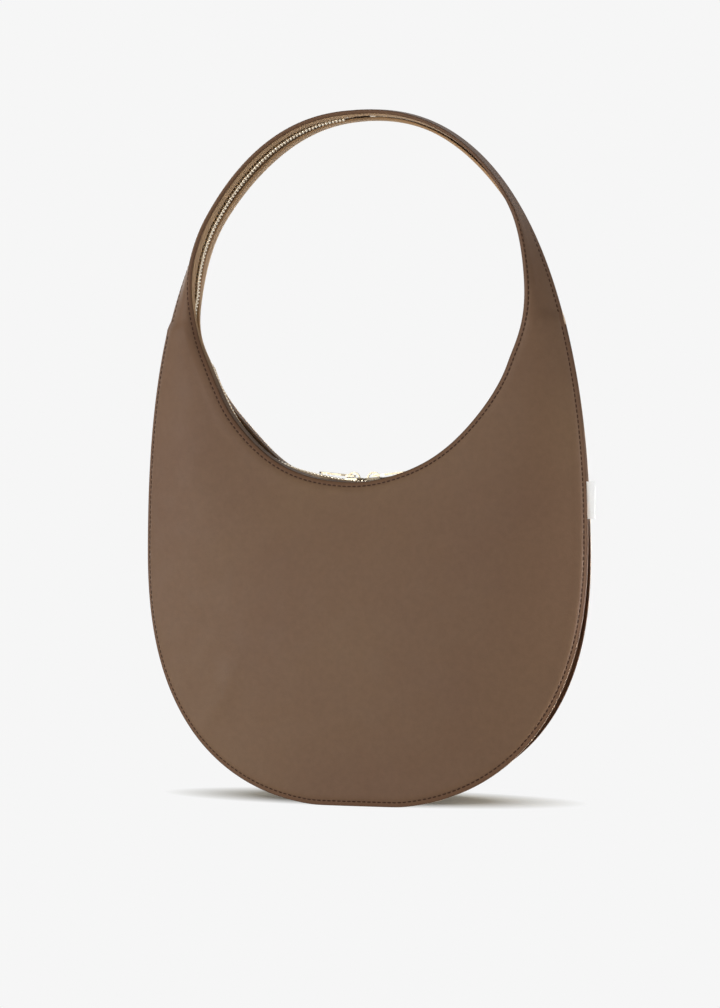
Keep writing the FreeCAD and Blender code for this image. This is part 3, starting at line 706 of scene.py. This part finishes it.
wayRound = ringAngles(-math.pi, math.pi, ringMake["steps"])[:-1]
for sideName, side in bothSides:
    edge = ringMake["fromCut"] * len(wayRound)
    facing = ringLoft(sideName + "Facing", ringMake["facing"], wayRound, True, side, facingLeather, edge)
    place(facing, "facing_leather", sideName + "_mouth_facing")
    tapePiece(sideName, side, "LeftTop", -crownAngle, -splitAngle, ringMake["topSteps"])
    tapePiece(sideName, side, "RightTop", splitAngle, crownAngle, ringMake["topSteps"])
    for label, (first, last, joint, keep) in zipRuns.items():
        partWith(tapePiece(sideName, side, label, first, last, ringMake["runSteps"]))
print("bindings and tapes ready")


# Rows of repeated items along a path
def rowTree():
    tree = bpy.data.node_groups.new("rowAlongPath", "GeometryNodeTree")
    sockets = {
        "Path": "Geometry", "Item": "Object", "Pitch": "Float", "Sway": "Float", "Seed": "Int",
        "Finish": "Material",
    }
    for name, kind in sockets.items():
        tree.interface.new_socket(name, in_out="INPUT", socket_type="NodeSocket" + kind)
    tree.interface.new_socket("Row", in_out="OUTPUT", socket_type="NodeSocketGeometry")
    step = functools.partial(result, tree)
    given = tree.nodes.new("NodeGroupInput").outputs
    align, named = "FunctionNodeAlignRotationToVector", "GeometryNodeInputNamedAttribute"
    curve = step("GeometryNodeMeshToCurve", "Curve", {"Mesh": given["Path"]})
    spaced = {"Curve": curve, "Length": given["Pitch"]}
    points = step("GeometryNodeResampleCurve", "Curve", spaced, mode="LENGTH")
    outward = step(named, "Attribute", {"Name": "outward"}, data_type="FLOAT_VECTOR")
    turned = step(align, "Rotation", {"Vector": step("GeometryNodeInputTangent", "Tangent")}, axis="X")
    turned = step(align, "Rotation", {"Rotation": turned, "Vector": outward}, axis="Z", pivot_axis="X")
    item = step("GeometryNodeObjectInfo", "Geometry", {"Object": given["Item"]})
    onPoints = {"Points": points, "Instance": item, "Rotation": turned}
    items = step("GeometryNodeInstanceOnPoints", "Instances", onPoints)
    least = math2(tree, "MULTIPLY", given["Sway"], -1.0)
    limits = {"Min": least, "Max": given["Sway"], "Seed": given["Seed"]}
    sway = step("ShaderNodeCombineXYZ", "Vector", {"Z": step("FunctionNodeRandomValue", "Value", limits)})
    items = step("GeometryNodeRotateInstances", "Instances", {"Instances": items, "Rotation": sway})
    row = step("GeometryNodeRealizeInstances", "Geometry", {"Geometry": items})
    row = step("GeometryNodeSetMaterial", "Geometry", {"Geometry": row, "Material": given["Finish"]})
    addNode(tree, "NodeGroupOutput", {"Row": row})
    return tree


rowAlongPath = rowTree()


def itemMesh(name, sections):
    # a small solid through rectangles: place across the row, half width, low and high
    verts, faces = [], []
    for y, half, low, high in sections:
        verts += [(-half, y, low), (half, y, low), (half, y, high), (-half, y, high)]
    for j in range(0, len(verts) - 4, 4):
        for i in range(4):
            k = (i + 1) % 4
            faces.append((j + i, j + k, j + 4 + k, j + 4 + i))
    faces += [(0, 1, 2, 3), tuple(len(verts) - 4 + i for i in range(4))]
    return meshObject(name, np.array(verts) * mm, faces, [], sharp=35)


def rowOf(name, points, outward, closed, item, pitch, sway, seed, finish):
    mesh = bpy.data.meshes.new(name + "Path")
    links = [(i, i + 1) for i in range(len(points) - 1)] + ([(len(points) - 1, 0)] if closed else [])
    mesh.from_pydata(leaning(points), links, [])
    flat = np.asarray([tuple(v) for v in outward], np.float32).ravel()
    mesh.attributes.new("outward", "FLOAT_VECTOR", "POINT").data.foreach_set("vector", flat)
    path = addObject(name + "Path", mesh)
    modifier = path.modifiers.new("row", "NODES")
    modifier.node_group = rowAlongPath
    ids = {s.name: s.identifier for s in rowAlongPath.interface.items_tree if s.in_out == "INPUT"}
    given = {"Item": item, "Pitch": pitch * mm, "Sway": sway, "Seed": seed, "Finish": finish}
    for key, value in given.items():
        modifier[ids[key]] = value
    made = bpy.data.meshes.new_from_object(path.evaluated_get(bpy.context.evaluated_depsgraph_get()))
    path.modifiers.clear()
    bpy.data.objects.remove(path)
    made.name = name
    return addObject(name, made)


# Zip teeth
zipMake = {  # millimetres, and radians past the sliders' runs
    "pitch": 2.2, "fit": 0.9995, "pathStep": 1.1, "seed": 1,
    "offset": 1.7, "leftTop": -1.4, "rightTop": 0.5, "pastFrom": 0.1, "pastOver": 0.45,
    "parting": 1.7, "nose": 3.25, "tail": 10.65, "stop": 10.9,
    "tooth": (
        (-2.6, 0.42, -0.95, 0.95), (-1.7, 0.46, -1.15, 1.15), (-0.7, 0.44, -1.1, 1.1),
        (-0.25, 0.34, -0.95, 0.95), (0.25, 0.34, -0.9, 0.9), (0.45, 0.22, -0.6, 0.6),
    ),
}
chainAngles = np.array(ringAngles(0, math.pi, 900))
chainLengths = runLength([openingPoint(a, zipMake["offset"], 0)[0] for a in chainAngles]) / mm


def teethPath(first, last, side):
    # the chain between two lengths from the sill, the rows standing apart between the sliders' noses
    points, outward = [], []
    start = splitAngle + zipMake["pastFrom"]
    for s in np.linspace(first, last, max(12, int(abs(last - first) / zipMake["pathStep"]))):
        phi = math.copysign(float(np.interp(abs(s), chainLengths, chainAngles)), s)
        apart = zipMake["parting"] * (1 - rise(abs(s), zipMake["nose"], zipMake["tail"]))
        past = rise(abs(phi), start, start + zipMake["pastOver"])  # there the chain lies higher or lower
        offset = zipMake["offset"] + zipMake["rightTop" if phi > 0 else "leftTop"] * past
        point, away = openingPoint(phi, offset, side * apart)
        points.append(point)
        outward.append(away)
    return points, outward


def teethWithin(length):
    return int(length / zipMake["pitch"])


mouthCount = teethWithin(np.interp(splitAngle, chainAngles, chainLengths))
throatCount = teethWithin(np.interp(throatAngle, chainAngles, chainLengths))
topCount = teethWithin(chainLengths[-1] - zipMake["stop"])
teethRuns = {  # first and last tooth, counted from the sill
    "Left": (-throatCount, -1), "LeftThroat": (-mouthCount, -throatCount - 1),
    "Right": (0, throatCount), "RightThroat": (throatCount + 1, mouthCount),
    "LeftTop": (-topCount, -mouthCount - 1), "RightTop": (mouthCount + 1, topCount - 1),
}
for sideName, side in bothSides:
    tooth = itemMesh(sideName + "Tooth", [(y * side, *rest) for y, *rest in zipMake["tooth"]])
    shift = 0.5 if side > 0 else 0.0
    for label, span in teethRuns.items():
        first, last = ((count + shift) * zipMake["pitch"] for count in span)
        points, outward = teethPath(first, last, side)
        spacing = zipMake["pitch"] * zipMake["fit"]
        name = sideName + "Teeth" + label
        teeth = rowOf(name, points, outward, False, tooth, spacing, 0.0, zipMake["seed"], toothMetal)
        place(teeth, "zip_metal", sideName + "_zip_teeth")
        if label in zipRuns:
            _, _, joint, keep = zipRuns[label]
            partWith(teeth)
    bpy.data.objects.remove(tooth)
print("zip teeth ready")


# Stitches
stitchMake = {  # millimetres, and radians round the ring
    "pitch": 3.1, "sway": 0.06, "seed": 7, "sink": 0.22, "sinkSpan": (1.75, 2.10),
    "handleEdge": 3.3, "handleSpan": (0.03, 0.5), "notchStop": 0.02,
    "form": (
        (-1.1, 0.16, -0.1, 0.05), (-0.9, 0.32, -0.15, 0.14), (-0.4, 0.38, -0.15, 0.24),
        (0.4, 0.38, -0.15, 0.24), (0.9, 0.32, -0.15, 0.14), (1.1, 0.16, -0.1, 0.05),
    ),
}


def stitchItem():
    obj = itemMesh("stitch", stitchMake["form"])
    co = np.array([v.co for v in obj.data.vertices])[:, [1, 0, 2]]  # laid along the run
    obj.data.vertices.foreach_set("co", co.ravel())
    obj.data.flip_normals()
    return obj


def readOff(row, length, want):  # a row's values at a length along it
    return np.stack([np.interp(want, length, row[:, c]) for c in range(3)], -1)


def stitchPath(panel, side, inset, keep):
    # an inset above 0 is from the mouth's edge, and one below 0 from the outer edge
    points, outward = [], []
    for j, phi in enumerate(panelAngles):
        if not keep(phi):
            continue
        length = runLength(panel["grid"][j])
        want = inset if inset > 0 else length[-1] + inset
        p, n = (readOff(panel[layer][j], length, want) for layer in ("grid", "normal"))
        buried = rise(abs(phi), *stitchMake["sinkSpan"])  # in the handle's fold
        p = p - n * stitchMake["sink"] * buried
        points.append(Vector((p[0], p[1] * -side, p[2])) * mm)
        outward.append(Vector((n[0], n[1] * -side, n[2])))
    return points, outward


def onHandle(angle):
    low, high = stitchMake["handleSpan"]
    return low < angle - notchAngle < high


stitchRows = {  # inset and where the row runs
    "MouthStitches": (panelMake["stitchIn"], lambda a: True),
    "BaseStitches": (-panelMake["stitchOut"], lambda a: abs(a) < notchAngle - stitchMake["notchStop"]),
    "LeftHandleStitches": (-stitchMake["handleEdge"], lambda a: onHandle(-a)),
    "RightHandleStitches": (-stitchMake["handleEdge"], onHandle),
}
stitch = stitchItem()
pitch, sway, seed = (stitchMake[key] for key in ("pitch", "sway", "seed"))
for sideName, side in bothSides:
    for label, (inset, keep) in stitchRows.items():
        points, outward = stitchPath(panels[sideName], side, inset, keep)
        row = rowOf(sideName + label, points, outward, inset > 0, stitch, pitch, sway, seed, thread)
        place(row, "body_leather")
bpy.data.objects.remove(stitch)
print("stitches ready")


# Label folded into the right seam
labelMake = {  # millimetres and degrees
    "cloth": 0.4, "rows": 14, "wave": 0.12, "waveRate": 0.55, "pulled": 2.2, "bendStep": 22,
}


def labelPiece():
    low, high = (np.array(c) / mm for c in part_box("side_label"))
    high[0] += labelMake["pulled"]
    thick, mid, radius = labelMake["cloth"], (low[1] + high[1]) / 2, (high[1] - low[1]) / 2
    bend = [math.radians(t) for t in range(-90, 91, labelMake["bendStep"])]
    outer = [(high[0] - radius + radius * math.cos(t), mid + radius * math.sin(t)) for t in bend]
    outer = [(low[0], mid - radius), *outer, (low[0], mid + radius)]
    inner = [(min(x, high[0] - thick), mid + (y - mid) * (1 - thick / radius)) for x, y in reversed(outer)]
    rings, uvs = [], []
    for z in np.linspace(low[2], high[2], labelMake["rows"] + 1):
        ring = []
        for x, y in outer + inner:
            free = max(0.0, (x - low[0]) / (high[0] - low[0]) - 0.5) * 2
            ring.append((x, y + labelMake["wave"] * free * math.sin(z * labelMake["waveRate"]), z))
        rings.append(np.array(ring) * mm)
        uvs.append([(run * mm, z * mm) for run in runLength(ring)])
    obj = place(loft("sideLabel", rings, False, [ribbonCloth], uvs, sharp=70), "label_ribbon", "side_label")


labelPiece()
print("label ready")


# Lining and pocket
liningMake = {  # millimetres and degrees
    "sweep": 70.0, "depth": 3.1, "cloth": 0.6, "ripple": 0.18, "rippleRate": (0.11, 0.07),
    "top": 6.0, "bottom": 9.0, "rows": 30, "middleGap": 0.3,
}


def sheetPiece(name, node, top, under, uv):
    # two layers of points as a grid, closed round the border
    rows, cols = top.shape[:2]
    verts = np.concatenate([top.reshape(-1, 3), under.reshape(-1, 3)]) * mm
    base = rows * cols
    faces = []
    for i in range(rows - 1):
        for j in range(cols - 1):
            a = i * cols + j
            faces.append((a, a + 1, a + cols + 1, a + cols))
            faces.append((base + a + cols, base + a + cols + 1, base + a + 1, base + a))
    index = np.arange(base).reshape(rows, cols)
    border = np.concatenate([index[0], index[1:, -1], index[-1, -2::-1], index[-2:0:-1, 0]]).tolist()
    for a, b in zip(border, border[1:] + border[:1]):
        faces.append((b, a, base + a, base + b))
    flat = np.concatenate([uv.reshape(-1, 2), uv.reshape(-1, 2)]) * mm
    return place(meshObject(name, verts, faces, [liningCloth], uv=flat), "lining_cloth", node)


def lined(phi):
    return abs(phi) <= math.radians(liningMake["sweep"])


def panelLining(sideName, side):
    make, panel = liningMake, panels[sideName]
    tops, unders, uvs = [], [], []
    for phi, row, normals in zip(panelAngles, panel["grid"], panel["normal"]):
        if not lined(phi):
            continue
        length = runLength(row)
        want = np.linspace(make["top"], length[-1] - make["bottom"], make["rows"])
        p, n = readOff(row, length, want), unit(readOff(normals, length, want))
        wide, tall = make["rippleRate"]
        depth = make["depth"] + make["ripple"] * np.sin(p[:, 0:1] * wide) * np.sin(p[:, 2:3] * tall)
        tops.append(p - n * depth)
        unders.append(p - n * (depth + make["cloth"]))
        uvs.append(p[:, [0, 2]])
    tops, unders, uvs = (np.array(rows) for rows in (tops, unders, uvs))
    for layer in (tops, unders):
        layer[:, :, 1] = np.minimum(layer[:, :, 1], -make["middleGap"]) * -side
    obj = sheetPiece(sideName + "Lining", sideName + "_lining", tops, unders, uvs)


gussetLiningMake = {  # millimetres: from the outer edge, dished, and clear of the panels' linings
    "drop": 6.15, "dish": 0.25, "clearAt": 6.7, "clear": 2.6, "least": 0.6, "rows": 9,
}


def gussetLining():
    make = gussetLiningMake
    tops, unders, uvs, run, last = [], [], [], 0.0, None
    for j, phi in enumerate(panelAngles):
        if not lined(phi):
            continue
        reach = baseReach(phi, outlineReach(abs(phi)), 0.0)
        half = max(make["least"], layerDepth(j, reach - make["clearAt"]) - make["clear"])
        y = np.linspace(-half, half, make["rows"])
        r = reach - make["drop"] - make["dish"] * (1 - (y / half) ** 2)
        here = Vector((reach * math.sin(phi), 0, reach * math.cos(phi)))
        run += (here - last).length if last else 0.0
        last = here
        for layer, away in ((tops, r), (unders, r - liningMake["cloth"])):
            layer.append(np.stack([away * math.sin(phi), y, ringCentre - away * math.cos(phi)], 1))
        uvs.append(np.stack([np.full(make["rows"], run), y], 1))
    tops, unders, uvs = (np.array(rows) for rows in (tops, unders, uvs))
    obj = sheetPiece("gussetLining", "gusset_lining", tops, unders, uvs)


pocketMake = {  # millimetres
    "half": 46.0, "bottom": 62.0, "top": 148.0, "depth": 4.1, "slack": 0.5, "steps": 24,
}


def pocketPiece():
    make, half = pocketMake, pocketMake["half"]
    tops = []
    for z in np.linspace(make["bottom"], make["top"], make["steps"]):
        row = []
        for x in np.linspace(-half, half, make["steps"]):
            reach, depth, _ = panelSection(abs(math.atan2(x, ringCentre - z)))
            face = np.interp(math.hypot(x, ringCentre - z), reach, depth)
            slack = make["slack"] * rise(z, make["bottom"], make["top"]) * math.cos(x / half * math.pi / 2)
            row.append((x, face - make["depth"] - slack, z))
        tops.append(row)
    tops = np.array(tops)
    unders = tops - np.array([0, liningMake["cloth"], 0])
    obj = sheetPiece("slipPocket", "slip_pocket", tops, unders, tops[:, :, [0, 2]])


for sideName, side in bothSides:
    panelLining(sideName, side)
gussetLining()
pocketPiece()
print("inside ready")

# Finishes of the pieces that show their solids
finishOf = {
    "front_stiffener": board, "back_stiffener": board, "base_board": board, "zip_end_stops": toothMetal,
}
for hand in ("left", "right"):
    for piece in ("slider_body", "slider_bridge", "pull_tab"):
        finishOf[hand + "_" + piece] = sliderMetal
for node, finish in finishOf.items():
    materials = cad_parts[node].data.materials
    for k in range(len(materials)):
        materials[k] = finish
    if len(materials) == 0:
        materials.append(finish)


# Studio
studio = {  # metres and degrees
    "paper": 0.922, "floorColor": (0.80, 0.79, 0.70), "floorHalf": 6.0, "floorDrop": 0.0004,
    "ambient": (0.40, 0.10), "ambientTop": 0.9,  # less from overhead
    "shade": (0.122, 0.03), "shadeBack": 0.008, "shadeFade": (0.6, 1.1),  # where the paper takes a shadow
    "azimuth": 14.5, "distance": 1.3, "height": 0.225, "aim": (-0.0026, 0.0, 0.1802), "seen": 0.6125,
    "roll": -0.75, "sensor": 36.0,
}
softBoxes = {  # place, aim, size, watts, beam
    "keyBox": ((-1.5, -1.25, 0.18), (-0.05, 0, 0.04), (1.1, 0.8), 23, 180),
    "lowBox": ((-0.5, -1.3, 0.05), (-0.05, 0, 0.05), (1.2, 0.3), 11, 180),
    "fillBox": ((1.3, -1.5, 0.6), (0.05, 0, 0.25), (1.2, 1.2), 5.5, 180),
    "topBox": ((0, 0.1, 1.7), (0, 0, 0.2), (1.4, 1.0), 0.6, 180),
    "rightBox": ((1.5, 0.1, 0.12), (0, 0, 0.2), (0.9, 0.2), 1.5, 180),
    "backBox": ((-0.9, 1.4, 1.0), (0, 0, 0.2), (1.0, 1.0), 9, 180),
    "edgeBox": ((0.6, 0.04, 0.07), (0.13, 0, 0.09), (0.15, 0.1), 0.3, 50),
    "bounceRight": ((0.55, 0.3, 0.02), (-0.02, 0, 0.42), (0.3, 0.2), 0.55, 80),
    "bounceLeft": ((-0.55, 0.25, 0.02), (0.05, 0, 0.42), (0.3, 0.2), 0.42, 80),
}


def paperMask(tree):
    rays = tree.nodes.new("ShaderNodeLightPath").outputs
    seen = math2(tree, "MAXIMUM", rays["Is Camera Ray"], rays["Is Glossy Ray"])
    return math2(tree, "MAXIMUM", seen, rays["Is Transmission Ray"])


def vectorMath(tree, operation, *vectors):
    output = "Value" if operation == "LENGTH" else "Vector"
    return result(tree, "ShaderNodeVectorMath", output, dict(enumerate(vectors)), operation=operation)


def paperFloor():
    half, drop = studio["floorHalf"], -studio["floorDrop"]
    mesh = bpy.data.meshes.new("studioFloor")
    corners = [(-half, -half, drop), (half, -half, drop), (half, half, drop), (-half, half, drop)]
    mesh.from_pydata(corners, [], [(0, 1, 2, 3)])
    mat = bpy.data.materials.new("studioPaper")
    tree = emptyTree(mat)
    paper = result(tree, "ShaderNodeBsdfDiffuse", 0, {"Color": (*studio["floorColor"], 1.0)})
    glow = result(tree, "ShaderNodeEmission", 0, {"Color": (*[studio["paper"]] * 3, 1.0), "Strength": 1.0})
    wide, deep = studio["shade"]
    moved = vectorMath(tree, "SUBTRACT", objectCoords(tree), (0, studio["shadeBack"], 0))
    under = vectorMath(tree, "MULTIPLY", moved, (1 / wide, 1 / deep, 0))
    far = mapRange(tree, vectorMath(tree, "LENGTH", under), *studio["shadeFade"], 0.0, 1.0)
    share = math2(tree, "MULTIPLY", far, paperMask(tree))
    mix = result(tree, "ShaderNodeMixShader", 0, {0: share, 1: paper, 2: glow})
    addNode(tree, "ShaderNodeOutputMaterial", {"Surface": mix})
    mesh.materials.append(mat)
    addObject("studioFloor", mesh)


def studioAir():
    world = bpy.data.worlds.new("studioAir")
    bpy.context.scene.world = world
    tree = emptyTree(world)
    way = result(tree, "ShaderNodeNewGeometry", "Position")
    up = result(tree, "ShaderNodeSeparateXYZ", "Z", {0: way})
    dim = mapRange(tree, up, 0.0, studio["ambientTop"], *studio["ambient"])
    air = result(tree, "ShaderNodeBackground", 0, {"Color": (1, 1, 1, 1), "Strength": dim})
    white = {"Color": (*[studio["paper"]] * 3, 1.0), "Strength": 1.0}
    paper = result(tree, "ShaderNodeBackground", 0, white)
    mix = result(tree, "ShaderNodeMixShader", 0, {0: paperMask(tree), 1: air, 2: paper})
    addNode(tree, "ShaderNodeOutputWorld", {"Surface": mix})


def softBox(name, spot, aim, size, power, beam):
    lamp = bpy.data.lights.new(name, "AREA")
    lamp.shape = "RECTANGLE"
    lamp.size, lamp.size_y = size
    lamp.energy = power
    lamp.spread = math.radians(beam)
    obj = addObject(name, lamp)
    obj.visible_camera = False
    obj.location = spot
    obj.rotation_euler = (Vector(aim) - Vector(spot)).to_track_quat("-Z", "Y").to_euler()


def photoCamera():
    cam = bpy.data.cameras.new("photoCamera")
    aim = Vector(studio["aim"])
    turn = math.radians(studio["azimuth"])
    seat = Vector((math.sin(turn), -math.cos(turn), 0)) * studio["distance"]
    seat.z = studio["height"]
    cam.sensor_width = studio["sensor"]
    cam.lens = studio["sensor"] * (seat - aim).length / studio["seen"]
    cam.clip_start, cam.clip_end = 0.05, 50
    cam.dof.use_dof = False
    obj = addObject("photoCamera", cam)
    obj.location = seat
    level = (aim - seat).to_track_quat("-Z", "Y")
    obj.rotation_euler = (level @ Quaternion((0, 0, 1), math.radians(studio["roll"]))).to_euler()
    bpy.context.scene.camera = obj


bpy.context.scene.view_settings.view_transform = "Standard"
studioAir()
paperFloor()
for name, values in softBoxes.items():
    softBox(name, *values)
photoCamera()
print("studio ready")
